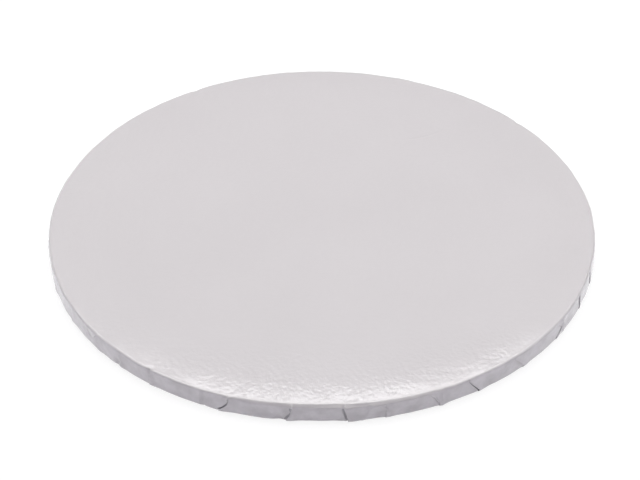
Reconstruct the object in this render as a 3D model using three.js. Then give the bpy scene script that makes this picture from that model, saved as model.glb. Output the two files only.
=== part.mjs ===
// Round cake board: a thick board disc wrapped in pleated white foil paper, with a paper disc glued
// under it. Millimetres, +Z up. The origin is at the middle of the underside.

import * as THREE from 'three';

// Board. Its top falls away a little towards the edge.
const BOARD_RADIUS = 151.8;
const BOARD_THICKNESS = 11.3;
const BOARD_EDGE_RADIUS = 1.5;
const SHOULDER_WIDTH = 16;
const SHOULDER_DROP = 0.5;

// Foil paper
const FOIL_THICKNESS = 0.2;
const FOIL_CLEARANCE = 0.25;
const FOIL_TURN_IN = 22;

// Knife pleats of the foil. Each starts as an open ridge a little below the top edge, is pressed
// flat a little further down, and grows from there to the inner edge of the turned-in foil.
const RIDGE_DROP = 0.8;
const RIDGE_CREST = 0.6;
const PRESSED_DROP = 3.4;
const PLEAT_SLIT = 0.05;
const PLEAT_RAMP = 5;

// Paper disc under the board. It clears the inner edge of the foil and slopes up to the board.
const PAPER_RADIUS = 142;
const PAPER_THICKNESS = 0.15;
const PAPER_SLOPE = 4;
const PAPER_CLEARANCE = 1;

// Pleats of the front: the angle of each from +X towards +Y, in degrees, and how far its line
// leans towards the higher angle on its way down the rim.
const FRONT_PLEATS = [
  { at: 197, lean: 2 },
  { at: 208, lean: 1 },
  { at: 218.2, lean: 0 },
  { at: 225.8, lean: -1 },
  { at: 234.1, lean: 0 },
  { at: 251.2, lean: -4 },
  { at: 264, lean: -2 },
  { at: 274, lean: 2 },
  { at: 282.5, lean: 0 },
  { at: 291.2, lean: 6.5 },
  { at: 300.2, lean: 6 },
  { at: 311.3, lean: 7 },
  { at: 326.3, lean: -2 },
  { at: 335.8, lean: 0 },
  { at: 344, lean: 1 },
];

// Pleats of the back fill the rest of the rim. They sway from their even places, in degrees, and
// lean by up to so many millimetres.
const BACK_PLEATS = 15;
const BACK_SWAY = 1.8;
const BACK_LEAN = 2;

// Facets of the round shapes
const DISC_SEGMENTS = 96;
const SHOULDER_STEPS = 2;
const EDGE_STEPS = 2;
const FACETS_BETWEEN_PLEATS = 2;

// Colours and finishes
const FOIL_FINISH = { color: 0xdedcdd, roughness: 0.45, metalness: 0.1 };
const BOARD_FINISH = { color: 0x9c9184, roughness: 0.95, metalness: 0 };
const PAPER_FINISH = { color: 0xe9e8e4, roughness: 0.85, metalness: 0 };

// Heights from the underside up. A pressed pleat is three layers of foil with two slits.
const PLEAT_STACK = 3 * FOIL_THICKNESS + 2 * PLEAT_SLIT;
const BOARD_BOTTOM = PAPER_THICKNESS + PLEAT_STACK;
const BOARD_TOP = BOARD_BOTTOM + BOARD_THICKNESS;

// The inside of the foil, round the rim of the board
const WRAP_RADIUS = BOARD_RADIUS + FOIL_CLEARANCE;

// One row of a round section: its distance from the axis, its height and the outward direction there
function sectionRow(radius, height, turn) {
  return { radius, height, out: new THREE.Vector2(Math.cos(turn), Math.sin(turn)) };
}

// Round edge of a disc, as rows from one outward direction to the other
function roundEdge(discRadius, height, fromTurn, toTurn) {
  const rows = [];
  for (let step = 0; step <= EDGE_STEPS; step++) {
    const turn = THREE.MathUtils.lerp(fromTurn, toTurn, step / EDGE_STEPS);
    const row = sectionRow(discRadius - BOARD_EDGE_RADIUS, height, turn);
    row.radius += BOARD_EDGE_RADIUS * row.out.x;
    row.height += BOARD_EDGE_RADIUS * row.out.y;
    rows.push(row);
  }
  return rows;
}

// The shoulder of the top is a shallow curve that grows steeper outwards, and the round edge takes
// over from it at the slope that it ends with.
function topEdge(discRadius) {
  const slope = (share) => Math.atan((2 * SHOULDER_DROP * share) / SHOULDER_WIDTH);
  const edgeHeight = BOARD_TOP - SHOULDER_DROP - BOARD_EDGE_RADIUS * Math.cos(slope(1));
  const edge = roundEdge(discRadius, edgeHeight, Math.PI / 2 - slope(1), 0);
  const shoulder = Array.from({ length: SHOULDER_STEPS }, (_, step) => {
    const share = step / SHOULDER_STEPS;
    const radius = edge[0].radius - SHOULDER_WIDTH * (1 - share);
    return sectionRow(radius, BOARD_TOP - SHOULDER_DROP * share ** 2, Math.PI / 2 - slope(share));
  });
  return [...shoulder, ...edge];
}

const bottomEdge = (discRadius) => roundEdge(discRadius, BOARD_BOTTOM + BOARD_EDGE_RADIUS, 0, -Math.PI / 2);

// A solid turned from a section that runs from its upper end on the axis to its lower end
function turnedSolid(section) {
  const profile = section.map((row) => new THREE.Vector2(row.radius, row.height)).reverse();
  return new THREE.LatheGeometry(profile, DISC_SEGMENTS).rotateX(Math.PI / 2);
}

function coreBoard() {
  return turnedSolid([
    sectionRow(0, BOARD_TOP, Math.PI / 2),
    ...topEdge(BOARD_RADIUS),
    ...bottomEdge(BOARD_RADIUS),
    sectionRow(0, BOARD_BOTTOM, -Math.PI / 2),
  ]);
}

// The paper lies on the pleats near its edge. Inside the foil's inner edge it slopes up to the board.
function basePaper() {
  const ringInner = WRAP_RADIUS - FOIL_TURN_IN - PAPER_CLEARANCE;
  const middleRadius = ringInner - PAPER_SLOPE;
  const upper = [
    new THREE.Vector2(0, BOARD_BOTTOM),
    new THREE.Vector2(middleRadius, BOARD_BOTTOM),
    new THREE.Vector2(ringInner, PAPER_THICKNESS),
    new THREE.Vector2(PAPER_RADIUS, PAPER_THICKNESS),
  ];
  const lower = upper.map((point) => new THREE.Vector2(point.x, point.y - PAPER_THICKNESS)).reverse();
  const profile = [...upper, ...lower].reverse();
  return new THREE.LatheGeometry(profile, DISC_SEGMENTS).rotateX(Math.PI / 2);
}

// Rows of the foil, down its inside from the middle of the top to the inner edge of the turn-in.
// Each row also knows how the pleats lie there, and how far down the rim it is, from 0 to 1.
function foilRows() {
  const top = topEdge(WRAP_RADIUS);
  const bottom = bottomEdge(WRAP_RADIUS);
  const rimTop = top.at(-1).height;
  const rimHeight = rimTop - bottom[0].height;
  const onRim = (drop) => sectionRow(WRAP_RADIUS, rimTop - drop, 0);
  const turnedIn = sectionRow(WRAP_RADIUS - FOIL_TURN_IN, BOARD_BOTTOM, -Math.PI / 2);
  const rows = [
    ...[sectionRow(0, BOARD_TOP, Math.PI / 2), ...top].map((row) => ({ ...row, lie: flatSheet })),
    { ...onRim(RIDGE_DROP), lie: openRidge },
    { ...onRim(PRESSED_DROP), lie: pressedPleat },
    ...[...bottom, turnedIn].map((row) => ({ ...row, lie: pressedPleat })),
  ];
  // The sheet's own radius grows all the way, while its distance from the axis doesn't. The
  // difference is what the pleats take up.
  let sheetRadius = 0;
  rows.forEach((row, i) => {
    const last = rows[Math.max(i - 1, 0)];
    sheetRadius += Math.hypot(row.radius - last.radius, row.height - last.height);
    row.spare = sheetRadius - row.radius;
    row.down = THREE.MathUtils.clamp((rimTop - row.height) / rimHeight, 0, 1);
  });
  return rows;
}

// How the foil lies across one pleat. Each lie gives six places on the outer and the inner side of
// the sheet, as [distance along the rim, distance off the board].

function flatSheet() {
  const along = [-1.5, -0.5, 0.5, 1.5, 2.5].map((step) => step * RIDGE_CREST);
  along.push(PLEAT_RAMP);
  return {
    outer: along.map((x) => [x, FOIL_THICKNESS]),
    inner: along.map((x) => [x, 0]),
  };
}

// The spare width stands up as a riser, with a crest that slopes back down to the board
function openRidge(width) {
  const t = FOIL_THICKNESS;
  const rise = Math.max(width, 1.5 * t);
  const riser = [0, rise / 3, (2 * rise) / 3, rise];
  return {
    outer: [...riser.map((y) => [-t, y + t]), [RIDGE_CREST, rise + t], [PLEAT_RAMP, t]],
    inner: [...riser.map((y) => [0, y]), [RIDGE_CREST, rise], [PLEAT_RAMP, 0]],
  };
}

// Three layers: the sheet runs under the pleat, back over itself and on again. Each of the four
// half widths takes up a quarter of the spare width, and none is shorter than the sheet's own bend.
function pressedPleat(width) {
  const t = FOIL_THICKNESS;
  const slit = PLEAT_SLIT;
  const half = Math.max(width / 4, t);
  return {
    outer: [
      [half - t, t],
      [half - t, t + slit],
      [-half, t + slit],
      [-half, PLEAT_STACK],
      [half + slit, PLEAT_STACK],
      [half + PLEAT_RAMP, t],
    ],
    inner: [
      [half, 0],
      [half, 2 * t + slit],
      [t - half, 2 * t + slit],
      [t - half, PLEAT_STACK - t],
      [half + slit, PLEAT_STACK - t],
      [half + PLEAT_RAMP, 0],
    ],
  };
}

// All the pleats in order, each with the sector of the sheet that it gathers
function pleats() {
  const first = FRONT_PLEATS[0].at;
  const last = FRONT_PLEATS.at(-1).at;
  const backStep = (first + 360 - last) / (BACK_PLEATS + 1);
  const back = Array.from({ length: BACK_PLEATS }, (_, i) => ({
    at: last + backStep * (i + 1) + BACK_SWAY * Math.sin(2.3 * i),
    lean: BACK_LEAN * Math.sin(3.7 * i),
  }));
  const all = [...FRONT_PLEATS, ...back];
  return all.map(({ at, lean }, i) => {
    const before = i > 0 ? all[i - 1].at : all.at(-1).at - 360;
    const after = i < all.length - 1 ? all[i + 1].at : first + 360;
    return {
      angle: THREE.MathUtils.degToRad(at),
      sector: THREE.MathUtils.degToRad((after - before) / 2),
      lean,
    };
  });
}

// The angle and the distance off the board of each place along one row, all the way round
function gatheredRow(row, side, allPleats) {
  const circle = row.radius > 0 ? row.radius : WRAP_RADIUS;
  const groups = allPleats.map(({ angle, sector, lean }) =>
    row.lie(sector * row.spare)[side].map(([along, off]) => ({
      angle: angle + (along + lean * row.down) / circle,
      off,
    })),
  );
  return groups.flatMap((group, i) => {
    const last = group.at(-1);
    const next = i < groups.length - 1 ? groups[i + 1][0].angle : groups[0][0].angle + 2 * Math.PI;
    const between = Array.from({ length: FACETS_BETWEEN_PLEATS }, (_, k) => ({
      angle: THREE.MathUtils.lerp(last.angle, next, (k + 1) / (FACETS_BETWEEN_PLEATS + 1)),
      off: last.off,
    }));
    return [...group, ...between];
  });
}

// The sheet is a turned solid whose columns are drawn together into pleats. Its profile runs out
// along the inside to the inner edge of the turn-in, and back along the outside.
function foilCover() {
  const rows = foilRows();
  const loop = [
    ...rows.map((row) => ({ row, side: 'inner' })),
    ...rows.toReversed().map((row) => ({ row, side: 'outer' })),
  ];
  const allPleats = pleats();
  const gathered = loop.map(({ row, side }) => gatheredRow(row, side, allPleats));
  const columns = gathered[0].length;
  const profile = loop.map(({ row }) => new THREE.Vector2(row.radius, row.height));
  const geometry = new THREE.LatheGeometry(profile, columns);
  const position = geometry.attributes.position;
  for (let i = 0; i <= columns; i++) {
    loop.forEach(({ row }, j) => {
      const { angle, off } = gathered[j][i % columns];
      const radius = row.radius > 0 ? row.radius + off * row.out.x : 0;
      position.setXYZ(
        i * loop.length + j,
        radius * Math.cos(angle),
        radius * Math.sin(angle),
        row.height + off * row.out.y,
      );
    });
  }
  geometry.computeVertexNormals();
  return geometry;
}

function piece(name, geometry, finish) {
  const mesh = new THREE.Mesh(geometry, new THREE.MeshStandardMaterial(finish));
  mesh.name = name;
  return mesh;
}

const cakeBoard = new THREE.Group();
cakeBoard.add(piece('core_board', coreBoard(), BOARD_FINISH));
cakeBoard.add(piece('foil_cover', foilCover(), FOIL_FINISH));
cakeBoard.add(piece('base_paper', basePaper(), PAPER_FINISH));

export default cakeBoard;
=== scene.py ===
import math

import bpy
import numpy as np
from mathutils import Matrix, Vector


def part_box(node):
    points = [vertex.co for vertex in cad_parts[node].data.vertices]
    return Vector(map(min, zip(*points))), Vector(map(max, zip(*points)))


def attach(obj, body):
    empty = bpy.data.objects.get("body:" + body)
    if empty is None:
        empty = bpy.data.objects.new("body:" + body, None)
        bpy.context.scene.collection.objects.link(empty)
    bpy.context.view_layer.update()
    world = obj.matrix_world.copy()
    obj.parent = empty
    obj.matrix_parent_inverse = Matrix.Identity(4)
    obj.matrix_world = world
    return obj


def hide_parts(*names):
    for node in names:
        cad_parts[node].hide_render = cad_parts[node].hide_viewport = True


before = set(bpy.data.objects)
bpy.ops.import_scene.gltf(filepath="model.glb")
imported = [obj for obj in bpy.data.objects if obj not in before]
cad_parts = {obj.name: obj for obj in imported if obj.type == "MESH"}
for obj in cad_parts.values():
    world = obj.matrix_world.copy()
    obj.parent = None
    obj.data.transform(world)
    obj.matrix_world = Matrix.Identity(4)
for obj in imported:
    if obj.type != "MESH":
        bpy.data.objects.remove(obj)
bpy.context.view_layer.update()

# Lengths are in millimetres up to the point where a mesh, lamp or camera is made
MM = 0.001
ROUND = 2 * math.pi

# Sizes that the frame gives
board_low, board_high = (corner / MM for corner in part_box("core_board"))
foil_low, foil_high = (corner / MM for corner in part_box("foil_cover"))
paper_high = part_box("base_paper")[1] / MM
BOARD_RADIUS = board_high.x
BOARD_TOP = board_high.z
BOARD_BOTTOM = board_low.z
FOIL_THICKNESS = foil_high.z - board_high.z
PAPER_RADIUS = paper_high.x
PAPER_THICKNESS = foil_low.z
PLEAT_STACK = board_low.z - foil_low.z
# The real foil is thinner than the solid one, so its folded layers lie closer
LAYER_SHARE = 0.6
LAYER = (PLEAT_STACK - FOIL_THICKNESS) / 2 * LAYER_SHARE

# Sizes that the source also has
FOIL_CLEARANCE = 0.25
BOARD_EDGE_RADIUS = 1.5
SHOULDER_WIDTH = 16
SHOULDER_DROP = 0.5
FOIL_TURN_IN = 22
PLEAT_RAMP = 5
PAPER_SLOPE = 4
PAPER_CLEARANCE = 1
WRAP_RADIUS = BOARD_RADIUS + FOIL_CLEARANCE

# Pleats of the front. Each has the angle of its line at the top edge, in degrees, and in mm how far
# the line has leant at the foot of the rim. Late is the power with which the lean sets in, and bow
# bends the line in the middle of the rim. Start is how far below the top edge the pleat begins,
# lift is how far its edge stands up, and gap is the width of the open groove before it, whose other
# side stands up by lip.
PLEAT_KEYS = ("angle", "lean", "late", "bow", "start", "lift", "gap", "lip")
FRONT_PLEATS = [
    (197.0, 2.0, 1.0, 0.0, 0.0, 0.20, 0.4, 0.20),
    (208.0, 1.0, 1.0, 0.0, 1.0, 0.03, 0.0, 0.00),
    (218.6, 1.0, 1.0, -2.6, 0.0, 0.15, 0.3, 0.25),
    (225.9, -1.0, 1.0, 0.0, 1.5, 0.10, 0.1, 0.10),
    (234.1, 0.0, 1.0, -0.4, 0.0, 0.05, 0.0, 0.05),
    (251.5, -4.4, 2.2, 0.9, 2.4, 0.55, 0.9, 0.50),
    (264.0, -2.2, 3.0, 0.0, 4.0, 0.50, 1.6, 0.30),
    (274.2, 2.4, 1.0, 0.0, -1.0, 0.80, 1.3, 0.50),
    (282.4, 0.0, 1.0, 0.0, 2.5, 0.06, 0.0, 0.00),
    (290.9, 6.8, 0.7, 0.0, 1.2, 0.30, 0.25, 0.25),
    (299.9, 6.4, 1.0, 0.0, 0.0, 0.45, 0.6, 0.40),
    (311.3, 7.0, 1.0, 0.0, 0.5, 0.08, 0.0, 0.00),
    (325.0, 0.0, 1.0, 4.5, 1.5, 0.08, 0.1, 0.10),
    (335.8, 0.0, 1.0, 0.0, 0.5, 0.03, 0.0, 0.03),
    (344.0, 1.0, 1.0, 0.0, 0.5, 0.03, 0.0, 0.03),
]

# Pleats of the back. Sway, in degrees, and lean follow a sine, and turn is how far that goes on from
# one pleat to the next. Bow, start and how open each is are drawn, and few are wide open.
BACK_PLEATS = 15
BACK_SWAY = 1.8
BACK_SWAY_TURN = 2.3
BACK_LEAN = 2
BACK_LEAN_TURN = 3.7
BACK_BOW = 0.8
BACK_START = 1.5
BACK_OPEN_POWER = 1.8
BACK_LIFT_LEAST = 0.05
BACK_LIFT_MORE = 0.55
BACK_GAP = 0.8
BACK_LIP = 0.4

# How far the board is out of round: (angle in degrees, mm outwards)
OUT_OF_ROUND = [
    (0, 0.0), (60, 0.1), (90, 0.6), (110, 0.9), (130, 0.5), (160, 0.0), (200, 0.0), (220, 0.1),
    (240, 0.4), (256, 0.4), (263, 0.1), (268, -0.3), (273, -0.3), (277, 0.3), (286, 0.3), (293, 0.2),
    (300, -0.1), (320, 0.1), (340, 0.0),
]

# How much rounder (more than 0) or sharper (less) than usual the top edge is pressed, in mm
EDGE_CRUSH = [
    (0, -0.2), (60, -0.1), (120, -0.15), (190, -0.2), (225, -0.15), (240, -0.25), (250, -0.1),
    (257, 0.2), (265, 0.35), (272, 0.45), (282, 0.35), (290, 0.25), (296, 0.0), (304, -0.15), (330, -0.2),
]

# Dents of the board: angle, mm past the shoulder of the top, width along the rim, width across, depth
DENTS = [
    (234.1, 1.6, 1.5, 1.7, 0.9),
    (251.3, 0.8, 0.8, 1.2, 0.3),
    (294.6, 1.8, 3.0, 1.6, 0.5),
    (261.8, 9.4, 2.2, 2.2, 1.4),
    (292.2, 6.2, 1.3, 3.4, 0.8),
    (280.9, 7.6, 3.0, 3.2, 0.6),
    (225.4, 9.0, 1.4, 3.0, 0.9),
    (246.4, 7.0, 0.9, 5.0, 0.8),
    (198.0, 4.5, 3.0, 3.0, 0.5),
    (216.0, 5.5, 1.8, 2.2, 0.4),
    (120.0, 1.4, 2.5, 1.6, 0.4),
    (40.0, 1.4, 2.0, 1.6, 0.4),
]

# Creases of the foil on the rim that are no pleats: points of a line as (angle, mm below the top
# edge), the height of the crease as a share of CREASE_RELIEF, and its width. Both are in mm.
CREASE_RELIEF = 2.2
CREASES = [
    ([(245.8, 0.5), (245.9, 11)], 0.22, 0.8),
    ([(279.5, 1.0), (279.0, 3.5), (278.2, 7), (277.8, 10)], 0.25, 0.7),
    ([(278.6, 8.5), (279.2, 4.5), (280.0, 2.4), (281.6, 2.3), (282.3, 4)], 0.28, 0.7),
    ([(293.9, 0.5), (293.9, 10.5)], 0.25, 0.7),
    ([(327.4, 0.2), (327.5, 10.5)], 0.28, 0.7),
    ([(251.9, 0.5), (251.4, 2), (252.1, 3.5), (251.6, 5)], 0.22, 0.6),
    ([(264.1, 0.0), (264.1, 9)], 0.25, 0.6),
    ([(214.7, 0.8), (215.4, 4.5)], 0.2, 0.8),
    ([(230.5, 1), (231, 8)], 0.12, 1.0),
    ([(256.5, 7), (258.5, 10)], 0.14, 1.2),
    ([(268.5, 2), (269.3, 9)], 0.1, 1.1),
    ([(288, 1), (287.4, 10)], 0.12, 1.0),
    ([(305, 2), (307, 9)], 0.14, 1.1),
    ([(318, 1), (319.5, 8)], 0.15, 1.0),
    ([(331, 1), (331.5, 9)], 0.15, 1.0),
]


def smooth(x):
    """0 below 0, 1 above 1, and a smooth step between."""
    x = np.clip(x, 0, 1)
    return x * x * (3 - 2 * x)


def curve_round(points, angle):
    """A smooth curve through (degrees, value) points that closes round the board."""
    degrees = np.degrees(angle) % 360
    at = np.array([p[0] for p in points] + [points[0][0] + 360], float)
    value = np.array([p[1] for p in points] + [points[0][1]], float)
    i = np.clip(np.searchsorted(at, degrees, side="right") - 1, 0, len(points) - 1)
    share = smooth((degrees - at[i]) / (at[i + 1] - at[i]))
    return value[i] + (value[i + 1] - value[i]) * share


def lattice_noise(x, y, cells_round, seed):
    """Smooth noise from -1 to 1. It closes after cells_round cells along x."""
    rows = 64
    table = np.random.default_rng(seed).uniform(-1, 1, (cells_round, rows))
    xi, yi = np.floor(x).astype(int), np.floor(y).astype(int)
    u, v = smooth(x - xi), smooth(y - yi)

    def value(i, j):
        return table[(xi + i) % cells_round, (yi + j) % rows]

    low = value(0, 0) * (1 - u) + value(1, 0) * u
    high = value(0, 1) * (1 - u) + value(1, 1) * u
    return low * (1 - v) + high * v


def rim_noise(angle, across, along_size, across_size, seed):
    """Noise round the rim: along_size and across_size are the sizes of its features."""
    cells = round(ROUND * WRAP_RADIUS / along_size)
    return lattice_noise(angle / ROUND * cells, across / across_size, cells, seed)


def bell(x, middle, reach):
    """1 at the middle, and close to 0 from twice the reach away."""
    return np.exp(-(((x - middle) / reach) ** 2))


# The section of the board, which the foil follows too. The rows of the flat top lie at these shares
# of its radius, and each further part has its own number of rows.
TOP_SHARES = (0, 0.2, 0.4, 0.55, 0.7, 0.8, 0.88, 0.95)
SHOULDER_ROWS = 16
EDGE_ROWS = 8
RIM_ROWS = 16
FOOT_ROWS = 7
UNDERSIDE_ROWS = 6


def section(disc_radius, inner_radius):
    """Rows from the middle of the top round the rim to inner_radius on the underside."""
    tilt = math.atan(2 * SHOULDER_DROP / SHOULDER_WIDTH)
    edge_middle = disc_radius - BOARD_EDGE_RADIUS
    shoulder_end = edge_middle + BOARD_EDGE_RADIUS * math.sin(tilt)
    shoulder_start = shoulder_end - SHOULDER_WIDTH
    edge_height = BOARD_TOP - SHOULDER_DROP - BOARD_EDGE_RADIUS * math.cos(tilt)
    foot_height = BOARD_BOTTOM + BOARD_EDGE_RADIUS

    def rounded(start, end, count, middle_height):
        """Rows round an edge of the board."""
        turned = []
        for turn in np.linspace(start, end, count):
            out = (math.cos(turn), math.sin(turn))
            radius = edge_middle + BOARD_EDGE_RADIUS * out[0]
            turned.append((radius, middle_height + BOARD_EDGE_RADIUS * out[1], *out))
        return turned

    rows = [(share * shoulder_start, BOARD_TOP, 0, 1) for share in TOP_SHARES]
    for share in np.linspace(0, 1, SHOULDER_ROWS + 1)[:-1]:
        slope = math.atan(2 * SHOULDER_DROP / SHOULDER_WIDTH * share)
        height = BOARD_TOP - SHOULDER_DROP * share**2
        rows.append((shoulder_start + SHOULDER_WIDTH * share, height, math.sin(slope), math.cos(slope)))
    edge_row = len(rows)
    rows += rounded(math.pi / 2 - tilt, 0, EDGE_ROWS, edge_height)
    rim_heights = np.linspace(edge_height, foot_height, RIM_ROWS + 2)[1:-1]
    rows += [(disc_radius, height, 1, 0) for height in rim_heights]
    rows += rounded(0, -math.pi / 2, FOOT_ROWS, foot_height)
    for share in np.linspace(0, 1, UNDERSIDE_ROWS + 1)[1:]:
        rows.append((edge_middle + (inner_radius - edge_middle) * share, BOARD_BOTTOM, 0, -1))
    rows = np.array(rows, float)
    steps = np.hypot(*np.diff(rows[:, :2], axis=0).T)
    sheet_radius = np.concatenate([[0], np.cumsum(steps)])
    return {
        "radius": rows[:, 0],
        "height": rows[:, 1],
        "out": rows[:, 2:],
        "spare": np.maximum(sheet_radius - rows[:, 0], 0),
        "past_edge": sheet_radius - sheet_radius[edge_row],
        "drop": BOARD_TOP - SHOULDER_DROP - rows[:, 1],
        "down": np.clip((edge_height - rows[:, 1]) / (edge_height - foot_height), 0, 1),
        "upright": np.clip(rows[:, 2], 0, 1) ** 2,
    }


# Out of round sets in from this radius, over this width. The top edge has a faint wave of its own.
OUT_OF_ROUND_FROM = 110
OUT_OF_ROUND_GROWTH = 40
EDGE_WAVE = 0.10
EDGE_WAVE_LENGTH = 9
EDGE_WAVE_AT = 1.2
EDGE_WAVE_REACH = 1.6


def place(rows, angles, off):
    """Points at a distance off the section, with the board's dents and its out of round."""
    radius, height = rows["radius"][:, None], rows["height"][:, None]
    out_r, out_z = rows["out"][:, :1], rows["out"][:, 1:]
    past = rows["past_edge"][:, None]
    # 2 * out_r * out_z is 1 halfway round the top edge, and 0 on the flats beside it
    crushed = curve_round(EDGE_CRUSH, angles) * 2 * out_r * np.clip(out_z, 0, 1)
    wave = EDGE_WAVE * rim_noise(angles, 0 * past, EDGE_WAVE_LENGTH, 1, 7)
    crushed = crushed + wave * bell(past, EDGE_WAVE_AT, EDGE_WAVE_REACH)
    for degrees, at, along, across, depth in DENTS:
        turn = (angles - math.radians(degrees) + math.pi) % ROUND - math.pi
        along_rim = (turn * WRAP_RADIUS / along) ** 2
        crushed = crushed + depth * np.exp(-along_rim - ((past - at) / across) ** 2)
    off = off - crushed
    wide = curve_round(OUT_OF_ROUND, angles) * smooth((radius - OUT_OF_ROUND_FROM) / OUT_OF_ROUND_GROWTH)
    r = np.where(radius > 0, radius + off * out_r + wide, 0)
    z = height + off * out_z
    return np.stack([r * np.cos(angles), r * np.sin(angles), z + 0 * angles], -1)


# The pleats of the foil

RAMP_PER_LIFT = 5


def all_pleats():
    """Every pleat in order, with the sector of the sheet that it gathers and the length of its ramp."""
    first, last = FRONT_PLEATS[0][0], FRONT_PLEATS[-1][0]
    step = (first + 360 - last) / (BACK_PLEATS + 1)
    dice = np.random.default_rng(11)
    values = list(FRONT_PLEATS)
    for i in range(BACK_PLEATS):
        at = last + step * (i + 1) + BACK_SWAY * math.sin(BACK_SWAY_TURN * i)
        open_share = dice.uniform() ** BACK_OPEN_POWER
        values.append((
            at, BACK_LEAN * math.sin(BACK_LEAN_TURN * i), 1 + (i % 3),
            dice.uniform(-BACK_BOW, BACK_BOW), dice.uniform(0, BACK_START),
            BACK_LIFT_LEAST + BACK_LIFT_MORE * open_share, BACK_GAP * open_share, BACK_LIP * open_share,
        ))
    pleats = [dict(zip(PLEAT_KEYS, value)) for value in values]
    for i, pleat in enumerate(pleats):
        before = values[i - 1][0] - (360 if i == 0 else 0)
        after = values[(i + 1) % len(values)][0] + (360 if i == len(values) - 1 else 0)
        pleat["angle"] = math.radians(values[i][0])
        pleat["sector"] = math.radians((after - before) / 2)
        pleat["ramp"] = PLEAT_RAMP + RAMP_PER_LIFT * pleat["lift"]
    return pleats


# Columns across one pleat: the lip with its heights as shares, the two bends, the run back between
# them, and the crown on top. The spans say where the columns lie before the sheet is folded.
LIP = np.array([-0.9, -0.3, 0.0, 0.2, 0.35])
LIP_HEIGHT = np.array([0.9, 1.0, 0.8, 0.15, 0.0])
BEND = np.radians([-75, -30, 30, 75])
RUN = np.array([0.2, 0.5, 0.8])
CROWN = np.linspace(0, 1, 11)[1:]
CROWN_POWER = 1.3
FOLD_COLUMNS = len(LIP) + 1 + 2 * len(BEND) + len(RUN)
FLAT_SPAN = (-1.4, 0.6)
RIDGE_LIP_SPAN = (-1.5, -0.15)
RIDGE_WIDTH = 0.1


def pleat_path(pleat, half, lift, gap, lip, ridge, pressed):
    """The line of the sheet across one pleat, as distances along the rim and off the board. It dips
    from the lip into the groove, runs under the pleat, round a bend, back over itself, round a
    second bend and on over the top."""
    bend = LAYER / 2
    ramp = pleat["ramp"]
    # Flat
    flat_end = FLAT_SPAN[1]
    flat_x = np.concatenate([np.linspace(*FLAT_SPAN, FOLD_COLUMNS), flat_end + (ramp - flat_end) * CROWN])
    flat_off = np.zeros_like(flat_x)
    # An open ridge
    share = np.linspace(0, 1, FOLD_COLUMNS - len(LIP))
    ridge_x = np.concatenate([
        np.linspace(*RIDGE_LIP_SPAN, len(LIP)),
        -RIDGE_WIDTH * share,
        -RIDGE_WIDTH + (ramp + RIDGE_WIDTH) * CROWN,
    ])
    ridge_off = np.concatenate([lip * LIP_HEIGHT, ridge * smooth(share), ridge * (1 - smooth(CROWN))])
    # Pressed flat, with the second bend lifted
    first, second = half - bend, bend - half
    crown_x = second + (half + ramp - second) * CROWN**CROWN_POWER
    fall = 1 - smooth((crown_x - half) / ramp)
    lifted = lift * (1 - smooth((crown_x + half) / (2 * half + ramp)))
    x = np.concatenate([
        second - bend - gap + LIP * np.where(LIP > 0, gap, 1),
        [first],
        first + bend * np.cos(BEND),
        first + (second - first) * RUN,
        second - bend * np.cos(BEND),
        crown_x,
    ])
    off = np.concatenate([
        lip * LIP_HEIGHT,
        [0],
        bend + bend * np.sin(BEND),
        LAYER + lift * RUN,
        1.5 * LAYER + lift + bend * np.sin(BEND),
        2 * LAYER * fall + lifted,
    ])
    x = ridge_x + (x - ridge_x) * pressed
    off = ridge_off + (off - ridge_off) * pressed
    opened = smooth(ridge / LAYER)
    return flat_x + (x - flat_x) * opened, flat_off + (off - flat_off) * opened


# Panels between the pleats, and how far from its start a pleat is a ridge, pressed flat and lifted
PANEL_STEP = 1.2
PANEL_LEAST_COLUMNS = 5
PANEL_SLACK = 0.2
LIP_REACH = 7
RIDGE_LENGTH = 1.6
PRESSED_AT = 2.8
LIFTED_AT = 5
# A groove this wide is open enough to look into, and apart from a few columns at each side it gets painted
# shade from the darker foil
OPEN_GROOVE = 0.25
GROOVE_MARGIN = 3


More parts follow.
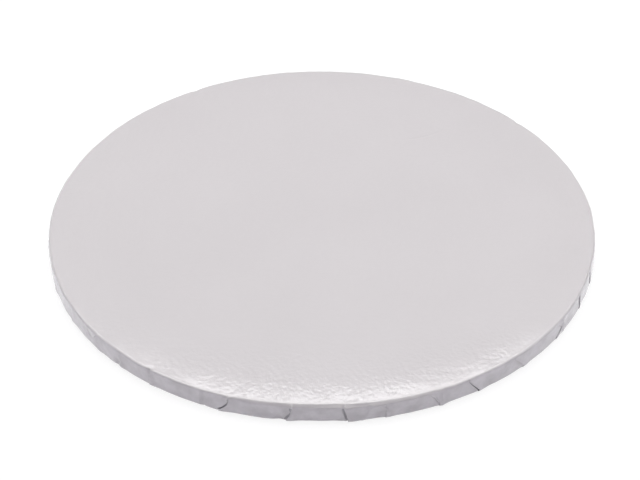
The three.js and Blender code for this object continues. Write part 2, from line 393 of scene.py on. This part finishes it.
def gathered_sheet(rows):
    """Angle and distance off the board of every point of the foil row by row, and the columns that
    lie in an open groove."""
    pleats = all_pleats()
    count = len(pleats)
    shares = []
    for i, pleat in enumerate(pleats):
        ahead = pleats[(i + 1) % count]["angle"] + (ROUND if i == count - 1 else 0)
        width = (ahead - pleat["angle"]) * WRAP_RADIUS - pleat["ramp"]
        columns = max(PANEL_LEAST_COLUMNS, round(width / PANEL_STEP))
        shares.append(np.linspace(0, 1, columns + 1)[1:-1])
    slack = np.random.default_rng(5).uniform(0.0, PANEL_SLACK, count)
    angles, offs = [], []
    for k, radius in enumerate(rows["radius"]):
        out_z = rows["out"][k][1]
        past, down, upright = rows["past_edge"][k], rows["down"][k], rows["upright"][k]
        # Under the board, from halfway round the lower edge, lengths count at the row's own radius
        circle = radius if out_z < -0.5 else WRAP_RADIUS
        foot = upright if out_z < 0 else 1
        paths = []
        for pleat in pleats:
            since = past - pleat["start"]
            begun = smooth(since / RIDGE_LENGTH)
            pressed = smooth((since - RIDGE_LENGTH) / PRESSED_AT)
            spare = pleat["sector"] * rows["spare"][k]
            half = max(spare / 4, FOIL_THICKNESS)
            ridge = begun * min(max(spare, LAYER), 2 * LAYER)
            grown = smooth(since / LIFTED_AT) * foot
            lift, gap, lip = pleat["lift"] * grown, pleat["gap"] * foot, pleat["lip"] * grown
            x, off = pleat_path(pleat, half, lift, gap, lip, ridge, pressed)
            line = pleat["lean"] * down ** pleat["late"] + pleat["bow"] * math.sin(math.pi * down)
            paths.append((pleat["angle"] + (x + line) / circle, off))
        row_angles, row_offs = [], []
        for i, (line, off) in enumerate(paths):
            next_line, next_off = paths[(i + 1) % count]
            start, end = line[-1], next_line[0] + (ROUND if i == count - 1 else 0)
            share = shares[i]
            before_next = (1 - share) * (end - start) * circle
            row_angles += [line, start + (end - start) * share]
            hang = slack[i] * np.sin(math.pi * share) ** 2 * upright
            row_offs += [off, hang + next_off[0] * (1 - smooth(before_next / LIP_REACH))]
        angles.append(np.concatenate(row_angles))
        offs.append(np.concatenate(row_offs))
    # Columns of the open grooves, where the foil gets painted shade
    inside = []
    for pleat, share in zip(pleats, shares):
        in_groove = [pleat["gap"] > OPEN_GROOVE] * (FOLD_COLUMNS - 2 * GROOVE_MARGIN)
        inside += [False] * GROOVE_MARGIN + in_groove
        inside += [False] * (GROOVE_MARGIN + len(CROWN) + len(share))
    return np.array(angles), np.array(offs), inside


def crease_height(angle, drop):
    """How far the creases lift the foil at each point of the rim."""
    lifted = np.zeros_like(angle)
    wrapped = angle % ROUND
    for line, height, width in CREASES:
        nearest = np.full_like(angle, np.inf)
        points = [(math.radians(a) * WRAP_RADIUS, d) for a, d in line]
        for (x0, y0), (x1, y1) in zip(points, points[1:]):
            px, py = wrapped * WRAP_RADIUS - x0, drop - y0
            dx, dy = x1 - x0, y1 - y0
            t = np.clip((px * dx + py * dy) / (dx * dx + dy * dy), 0, 1)
            nearest = np.minimum(nearest, np.hypot(px - t * dx, py - t * dy))
        lifted += CREASE_RELIEF * height * np.exp(-nearest / width)
    return lifted


# Ripples of the foil: height, size along the rim and across it, and seed. Those of the top also
# have the distance over which they fade inwards, and their heights are shares of TOP_RIPPLE.
RIM_RIPPLES = ((0.12, 17, 7, 1), (0.09, 6, 3, 2), (0.04, 2.6, 2, 3))
TOP_RIPPLES = ((1, 4.5, 10, 4, 9), (1.8, 12, 14, 6, 14))
TOP_RIPPLE = 0.06
TOP_RIPPLE_END = 25
TOP_RIPPLE_FADE = 12
EDGE_RIPPLE = 0.05
EDGE_RIPPLE_LENGTH = 4
EDGE_RIPPLE_AT = 1.0
EDGE_RIPPLE_REACH = 1.4
DEEPEST_RIPPLE = -0.15


def foil_ripples(rows, angles):
    """Small ripples and creases of the foil, off the board. They stay above its surface."""
    past, upright = rows["past_edge"][:, None], rows["upright"][:, None]
    drop = np.clip(rows["drop"][:, None], 0, None) + 0 * angles
    wide, narrow, fine = (height * rim_noise(angles, drop, *sizes) for height, *sizes in RIM_RIPPLES)
    rim = wide + narrow + (fine + crease_height(angles, drop))
    # Ripples of the top run in from the rim and fade
    inward = np.clip(-past, 0, None)
    ripple = 0
    for height, along, across, seed, fade in TOP_RIPPLES:
        ripple = ripple + height * rim_noise(angles, inward, along, across, seed) * np.exp(-inward / fade)
    ripple = ripple * smooth((TOP_RIPPLE_END - inward) / TOP_RIPPLE_FADE)
    near_edge = bell(past, EDGE_RIPPLE_AT, EDGE_RIPPLE_REACH) * EDGE_RIPPLE
    edge = near_edge * rim_noise(angles, 0 * past, EDGE_RIPPLE_LENGTH, 1, 8)
    on_top = (rows["out"][:, 1:] > 0) * (1 - upright)
    return np.maximum(upright * rim + on_top * TOP_RIPPLE * ripple + edge, DEEPEST_RIPPLE)


# Meshes

def mesh_piece(name, points, faces, materials, cad_node, material_of_face=None):
    """A smooth-shaded mesh from points in millimetres. It rides on the board and stands for a node."""
    mesh = bpy.data.meshes.new(name)
    mesh.from_pydata((points * MM).tolist(), [], faces)
    mesh.polygons.foreach_set("use_smooth", [True] * len(mesh.polygons))
    for material in materials:
        mesh.materials.append(material)
    if material_of_face is not None:
        mesh.polygons.foreach_set("material_index", material_of_face)
    mesh.update()
    piece = bpy.data.objects.new(name, mesh)
    bpy.context.scene.collection.objects.link(piece)
    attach(piece, "root")
    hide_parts(cad_node)
    return piece


def cap(middle, ring, count, inwards=False):
    """Triangles between a middle point and the ring of points that starts at ring."""
    faces = [(middle, ring + i, ring + (i + 1) % count) for i in range(count)]
    return [face[::-1] for face in faces] if inwards else faces


def ring_faces(rings, count, start):
    """Quads between rings of points that close round the axis."""
    faces = []
    for k in range(rings - 1):
        upper, lower = start + k * count, start + (k + 1) * count
        for i in range(count):
            j = (i + 1) % count
            faces.append((upper + i, lower + i, lower + j, upper + j))
    return faces


def closed_faces(rings, count):
    """Faces of rings that close, with a middle point before the first and one after the last."""
    last = 1 + rings * count
    return cap(0, 1, count) + ring_faces(rings, count, 1) + cap(last, last - count, count, inwards=True)


FOIL_OFF_FLOOR = 0.02
# Painted groove shade starts this far, in mm, past the top edge
GROOVE_SHADE_FROM = 2.5


def foil_cover(foil, groove_shade_foil):
    """The sheet of foil. Open grooves below the top edge have a darker copy of the foil, which paints shade
    into them.
    """
    rows = section(WRAP_RADIUS, WRAP_RADIUS - FOIL_TURN_IN)
    angles, offs, inside = gathered_sheet(rows)
    points = place(rows, angles, FOIL_THICKNESS + offs + foil_ripples(rows, angles))
    points[..., 2] = np.maximum(points[..., 2], FOIL_OFF_FLOOR)
    rings, count = angles.shape[0] - 1, angles.shape[1]
    points = np.concatenate([points[0, :1], points[1:].reshape(-1, 3)])
    faces = cap(0, 1, count) + ring_faces(rings, count, 1)
    # Faces of open grooves on the rim get material 1, the darker foil that paints shade
    groove_shade = [0] * count
    for k in range(1, rings):
        on_rim = rows["past_edge"][k] > GROOVE_SHADE_FROM
        groove_shade += [int(on_rim and shaded_column) for shaded_column in inside]
    return mesh_piece("foil_wrap", points, faces, [foil, groove_shade_foil], "foil_cover", groove_shade)


BOARD_COLUMNS = 720


def inner_board(material):
    """The board inside the foil, with the same dents."""
    rows = section(BOARD_RADIUS, 0)
    angles = np.linspace(0, ROUND, BOARD_COLUMNS, endpoint=False)[None, :] + 0 * rows["radius"][:, None]
    points = place(rows, angles, 0 * angles)
    points = np.concatenate([points[0, :1], points[1:-1].reshape(-1, 3), points[-1, :1]])
    faces = closed_faces(len(rows["radius"]) - 2, BOARD_COLUMNS)
    return mesh_piece("inner_board", points, faces, [material], "core_board")


# Rings of the paper in its middle, on its slope and on the foil, and the wave of its outer part
PAPER_RINGS = (11, 6, 7)
PAPER_COLUMNS = 360
PAPER_WAVE = 0.05
PAPER_WAVE_SIZES = (12, 9)
PAPER_WAVE_GROWTH = 3


def base_paper(material):
    """The paper disc. It bridges the turned-in foil and dips up to the board inside it."""
    ring_inner = WRAP_RADIUS - FOIL_TURN_IN - PAPER_CLEARANCE
    middle = ring_inner - PAPER_SLOPE
    lift = BOARD_BOTTOM - PAPER_THICKNESS
    stops = (0, middle, ring_inner, PAPER_RADIUS)
    radii = np.concatenate([
        np.linspace(start, end, rings + 1)[1:] for start, end, rings in zip(stops, stops[1:], PAPER_RINGS)
    ])[:, None]
    angles = np.linspace(0, ROUND, PAPER_COLUMNS, endpoint=False)[None, :] + 0 * radii
    rise = lift * (1 - smooth((radii - middle) / PAPER_SLOPE)) + 0 * angles
    outer = PAPER_WAVE * smooth((radii - ring_inner) / PAPER_WAVE_GROWTH)
    rise += outer * (1 + rim_noise(angles, radii, *PAPER_WAVE_SIZES, 21))
    lower = np.stack([radii * np.cos(angles), radii * np.sin(angles), rise], -1)
    upper = lower + [0, 0, PAPER_THICKNESS]
    points = np.concatenate([
        [[0, 0, lift + PAPER_THICKNESS]],
        upper.reshape(-1, 3),
        lower[::-1].reshape(-1, 3),
        [[0, 0, lift]],
    ])
    faces = closed_faces(2 * len(radii), PAPER_COLUMNS)
    return mesh_piece("backing_paper", points, faces, [material], "base_paper")


# Materials

def new_material(name, **values):
    """A material with its shader. An underscore in the name of a value stands for a space."""
    material = bpy.data.materials.new(name)
    material.use_nodes = True
    tree = material.node_tree
    shader = tree.nodes["Principled BSDF"]
    for socket, value in values.items():
        shader.inputs[socket.replace("_", " ")].default_value = value
    return material, tree, shader


def node(tree, kind, inputs=None, **settings):
    """A new node, with a socket or a value for each input that is given."""
    made = tree.nodes.new(kind)
    for name, value in settings.items():
        setattr(made, name, value)
    for name, value in (inputs or {}).items():
        if isinstance(value, bpy.types.NodeSocket):
            tree.links.new(value, made.inputs[name])
        else:
            made.inputs[name].default_value = value
    return made


def calc(tree, operation, *values):
    """A Math node of up to three values or sockets."""
    return node(tree, "ShaderNodeMath", dict(enumerate(values)), operation=operation).outputs[0]


def noise(tree, at, scale, detail):
    return node(tree, "ShaderNodeTexNoise", {"Vector": at, "Scale": scale, "Detail": detail}).outputs["Fac"]


def map_range(tree, value, zero_at, one_at, **settings):
    """A value that is 0 at zero_at and 1 at one_at."""
    inputs = {"Value": value, "From Min": zero_at, "From Max": one_at}
    return node(tree, "ShaderNodeMapRange", inputs, **settings).outputs["Result"]


def tint(tree, share, low, high):
    """A colour between low and high."""
    mix = node(tree, "ShaderNodeMix", {0: share}, data_type="RGBA")
    mix.inputs[6].default_value = (*low, 1)
    mix.inputs[7].default_value = (*high, 1)
    return mix.outputs[2]


def times(colour, shares):
    return [value * share for value, share in zip(colour, shares)]


def add_bump(tree, shader, height, strength, distance, sockets=("Normal",)):
    """Relief of a height, of which 1 is the distance in metres."""
    bump = node(tree, "ShaderNodeBump", {"Height": height, "Strength": strength, "Distance": distance})
    for socket in sockets:
        tree.links.new(bump.outputs["Normal"], shader.inputs[socket])


# The crease on the top: y = start + bend * (x - start_x) squared, in metres
TOP_CREASE_START = (0.045, 0.079)
TOP_CREASE_BEND = 13.2
TOP_CREASE_LENGTH = 0.030
TOP_CREASE_HALF_WIDTH = 0.0014
TOP_CREASE_FADE = 0.01


def top_crease(tree, at):
    """Height, from 0 to 1, of the long shallow crease on the top."""
    axes = node(tree, "ShaderNodeSeparateXYZ", {"Vector": at})
    along = calc(tree, "SUBTRACT", axes.outputs["X"], TOP_CREASE_START[0])
    bent = calc(tree, "MULTIPLY", calc(tree, "MULTIPLY", along, along), TOP_CREASE_BEND)
    across = calc(tree, "SUBTRACT", calc(tree, "SUBTRACT", axes.outputs["Y"], TOP_CREASE_START[1]), bent)
    across = calc(tree, "ABSOLUTE", across)
    crest = map_range(tree, across, TOP_CREASE_HALF_WIDTH, 0.0, interpolation_type="SMOOTHSTEP")
    half = TOP_CREASE_LENGTH / 2
    middle = calc(tree, "ABSOLUTE", calc(tree, "SUBTRACT", along, half))
    window = map_range(tree, middle, half, half - TOP_CREASE_FADE, interpolation_type="SMOOTHSTEP")
    return calc(tree, "MULTIPLY", crest, window)


# Foil: colours of the cloud's two ends, and what they are multiplied by where the foil is upright, which
# paints darker, bluer shade in blotches on the rim
WHITE_FOIL = (0.725, 0.695, 0.695), (0.77, 0.74, 0.74)
# Darker copy of the foil's colours: painted shade in the open grooves of the pleats
GROOVE_SHADE_FOIL = (0.40, 0.385, 0.40), (0.45, 0.435, 0.45)
RIM_SHADE_LOW = (0.86, 0.85, 0.90)
RIM_SHADE_HIGH = (1.0, 0.99, 1.05)
# Upright and flat, as the Z of the surface's normal
UPRIGHT_TO_FLAT = (0.3, 0.75)
CLOUD_SCALE = 14.0
SHADE_BLOTCH_SCALE = 130.0
SHADE_BLOTCH_RANGE = (0.32, 0.68)
# Emboss: small cells and crushed noise, over a wider wave. Heights are in mm.
CELL_SCALE = 520.0
CRUSH_SCALE = 330.0
CRUSH_SHARE = 2.0
WAVE_SCALE = 45.0
EMBOSS_HEIGHT = 0.07
WAVE_HEIGHT = 0.12
TOP_CREASE_HEIGHT = 0.14


def foil_material(name, low, high):
    """Satin white foil paper: a fine crushed emboss, a clear film, faint cloudiness, and painted shade,
    darker and bluer in blotches, where it stands upright.
    """
    material, tree, shader = new_material(
        name, Metallic=0.0, Roughness=0.4, Specular_IOR_Level=0.35,
        Coat_Weight=1.0, Coat_Roughness=0.1, Coat_IOR=1.7,
    )
    at = node(tree, "ShaderNodeTexCoord").outputs["Object"]
    tone = tint(tree, noise(tree, at, CLOUD_SCALE, 3.0), low, high)
    # Where the foil hangs upright it is slack, and there its colour is painted darker and bluer on average,
    # in blotches: painted shade of the rim
    shade_blotches = map_range(tree, noise(tree, at, SHADE_BLOTCH_SCALE, 2.0), *SHADE_BLOTCH_RANGE)
    rim_shade = tint(tree, shade_blotches, times(low, RIM_SHADE_LOW), times(high, RIM_SHADE_HIGH))
    normal = node(tree, "ShaderNodeNewGeometry").outputs["Normal"]
    facing = node(tree, "ShaderNodeSeparateXYZ", {"Vector": normal})
    flat = map_range(tree, calc(tree, "ABSOLUTE", facing.outputs["Z"]), *UPRIGHT_TO_FLAT)
    mix = node(tree, "ShaderNodeMix", {0: flat, 6: rim_shade, 7: tone}, data_type="RGBA")
    tree.links.new(mix.outputs[2], shader.inputs["Base Color"])
    cells = node(tree, "ShaderNodeTexVoronoi", {"Vector": at, "Scale": CELL_SCALE}, feature="SMOOTH_F1")
    crush = noise(tree, at, CRUSH_SCALE, 2.0)
    emboss = calc(tree, "MULTIPLY_ADD", crush, CRUSH_SHARE, cells.outputs["Distance"])
    wave = noise(tree, at, WAVE_SCALE, 1.0)
    height = calc(tree, "MULTIPLY", emboss, EMBOSS_HEIGHT)
    height = calc(tree, "ADD", height, calc(tree, "MULTIPLY", wave, WAVE_HEIGHT))
    height = calc(tree, "ADD", height, calc(tree, "MULTIPLY", top_crease(tree, at), TOP_CREASE_HEIGHT))
    add_bump(tree, shader, height, 1.0, MM, ("Normal", "Coat Normal"))
    return material


# Paper and board: the scale of the fibre, and the colours between which they vary
PAPER_FIBRE = 900.0
PAPER_CLOUD = 40.0
PAPER_TONES = (0.74, 0.725, 0.69), (0.80, 0.785, 0.75)
BOARD_FIBRE = 700.0
BOARD_TONES = (0.22, 0.18, 0.145), (0.44, 0.39, 0.33)


def paper_material():
    """Matt white paper with a faint fibre."""
    material, tree, shader = new_material("matt_white_paper", Roughness=0.85)
    at = node(tree, "ShaderNodeTexCoord").outputs["Object"]
    tone = tint(tree, noise(tree, at, PAPER_CLOUD, 3.0), *PAPER_TONES)
    tree.links.new(tone, shader.inputs["Base Color"])
    add_bump(tree, shader, noise(tree, at, PAPER_FIBRE, 4.0), 0.25, 0.0001)
    return material


def board_material():
    """Grey-brown solid board of pressed waste paper, with darker and lighter fibres."""
    material, tree, shader = new_material("solid_board", Roughness=0.95)
    at = node(tree, "ShaderNodeTexCoord").outputs["Object"]
    fibre = noise(tree, at, BOARD_FIBRE, 6.0)
    tree.links.new(tint(tree, fibre, *BOARD_TONES), shader.inputs["Base Color"])
    add_bump(tree, shader, fibre, 0.4, 0.0002)
    return material


# Stage, light and camera. Places and sizes of the floor and the lamps are in metres.
FLOOR_HALF = 4.0
FLOOR_WHITE = 0.85
FLOOR_SEEN_WHITE = 0.76
FLOOR_SEEN_STRENGTH = 1.12


def floor():
    """A white floor that shows as plain white and keeps a soft shadow under the board."""
    mesh = bpy.data.meshes.new("floor")
    corners = [(-1, -1), (1, -1), (1, 1), (-1, 1)]
    mesh.from_pydata([(x * FLOOR_HALF, y * FLOOR_HALF, 0) for x, y in corners], [], [(0, 1, 2, 3)])
    plane = bpy.data.objects.new("floor", mesh)
    bpy.context.scene.collection.objects.link(plane)
    material = bpy.data.materials.new("floor_white")
    material.use_nodes = True
    tree = material.node_tree
    tree.nodes.clear()
    ray = node(tree, "ShaderNodeLightPath").outputs
    seen = calc(tree, "MAXIMUM", ray["Is Camera Ray"], ray["Is Glossy Ray"])
    seen = calc(tree, "MAXIMUM", seen, ray["Is Transmission Ray"])
    share = calc(tree, "MULTIPLY", seen, FLOOR_SEEN_WHITE)
    matt = node(tree, "ShaderNodeBsdfDiffuse", {"Color": (FLOOR_WHITE, FLOOR_WHITE, FLOOR_WHITE, 1)})
    glow = node(tree, "ShaderNodeEmission", {"Color": (1, 1, 1, 1), "Strength": FLOOR_SEEN_STRENGTH})
    mix = node(tree, "ShaderNodeMixShader", {0: share, 1: matt.outputs[0], 2: glow.outputs[0]})
    node(tree, "ShaderNodeOutputMaterial", {"Surface": mix.outputs[0]})
    mesh.materials.append(material)


# Softboxes: name, place, width and height, watts and colour. All face the board.
LAMP_WHITE = (1, 1, 1)
LAMP_COOL = (0.94, 0.94, 1.0)
SOFTBOXES = [
    ("back_strip_softbox", (0, 0.72, 1.05), (2.4, 0.2), 5.0, LAMP_WHITE),
    ("overhead_softbox", (0, 0.15, 1.5), (2.6, 1.1), 21.0, LAMP_WHITE),
    ("left_softbox", (-1.5, -0.2, 0.6), (0.7, 0.7), 1.0, LAMP_COOL),
    ("right_softbox", (1.5, -0.2, 0.6), (0.7, 0.7), 1.3, LAMP_COOL),
]
LAMP_AIM = (0, 0, 0)
WORLD_STRENGTH = 0.2
WORLD_COLOUR = (0.93, 0.90, 1.0, 1)


def softbox(name, place_at, size, watts, colour):
    light = bpy.data.lights.new(name, "AREA")
    light.shape = "RECTANGLE"
    light.size, light.size_y = size
    light.energy = watts
    light.color = colour
    lamp = bpy.data.objects.new(name, light)
    lamp.location = place_at
    lamp.rotation_euler = (Vector(LAMP_AIM) - Vector(place_at)).to_track_quat("-Z", "Y").to_euler()
    bpy.context.scene.collection.objects.link(lamp)


def lights():
    """The softboxes, and a soft world that the camera sees as plain white."""
    for values in SOFTBOXES:
        softbox(*values)
    world = bpy.data.worlds.new("studio")
    bpy.context.scene.world = world
    world.use_nodes = True
    tree = world.node_tree
    tree.nodes.clear()
    ray = node(tree, "ShaderNodeLightPath").outputs
    soft = node(tree, "ShaderNodeBackground", {"Color": WORLD_COLOUR, "Strength": WORLD_STRENGTH})
    white = node(tree, "ShaderNodeBackground", {"Color": (1, 1, 1, 1), "Strength": 1.0})
    seen = ray["Is Camera Ray"]
    mix = node(tree, "ShaderNodeMixShader", {0: seen, 1: soft.outputs[0], 2: white.outputs[0]})
    node(tree, "ShaderNodeOutputWorld", {"Surface": mix.outputs[0]})


# The camera of the photograph, from the outline of the top and the foot of the rim. Distances are
# in outer radii of the board, from the middle of the plane of the top edge, and angles in degrees.
OUTER_RADIUS = WRAP_RADIUS + FOIL_THICKNESS
CAMERA_ELEVATION = 38.05
CAMERA_ROLL = -0.104
CAMERA_DISTANCE = 8.2294
CAMERA_AIM = (-0.00664, -0.10195)
CAMERA_CLIP = (0.1, 30)
LENS_PIXELS = 2260.8
IMAGE_WIDTH = 640
SENSOR_WIDTH = 36


def camera():
    elevation, roll = math.radians(CAMERA_ELEVATION), math.radians(CAMERA_ROLL)
    back = Vector((0, -math.cos(elevation), math.sin(elevation)))
    right = Vector((1, 0, 0))
    up = right.cross(-back)
    rolled_right = right * math.cos(roll) + up * math.sin(roll)
    rolled_up = up * math.cos(roll) - right * math.sin(roll)
    aim = Vector((*(v * OUTER_RADIUS for v in CAMERA_AIM), foil_high.z - SHOULDER_DROP)) * MM
    data = bpy.data.cameras.new("camera")
    data.sensor_width = SENSOR_WIDTH
    data.lens = LENS_PIXELS / IMAGE_WIDTH * SENSOR_WIDTH
    cam = bpy.data.objects.new("camera", data)
    turn = Matrix((rolled_right, rolled_up, back)).transposed().to_4x4()
    cam.matrix_world = Matrix.Translation(aim + back * CAMERA_DISTANCE * OUTER_RADIUS * MM) @ turn
    data.clip_start, data.clip_end = CAMERA_CLIP
    bpy.context.scene.collection.objects.link(cam)
    bpy.context.scene.camera = cam


camera()
floor()
lights()
foil_cover(
    foil_material("white_foil_paper", *WHITE_FOIL),
    foil_material("foil_painted_groove_shade", *GROOVE_SHADE_FOIL),
)
inner_board(board_material())
base_paper(paper_material())
bpy.context.scene.view_settings.view_transform = "Standard"
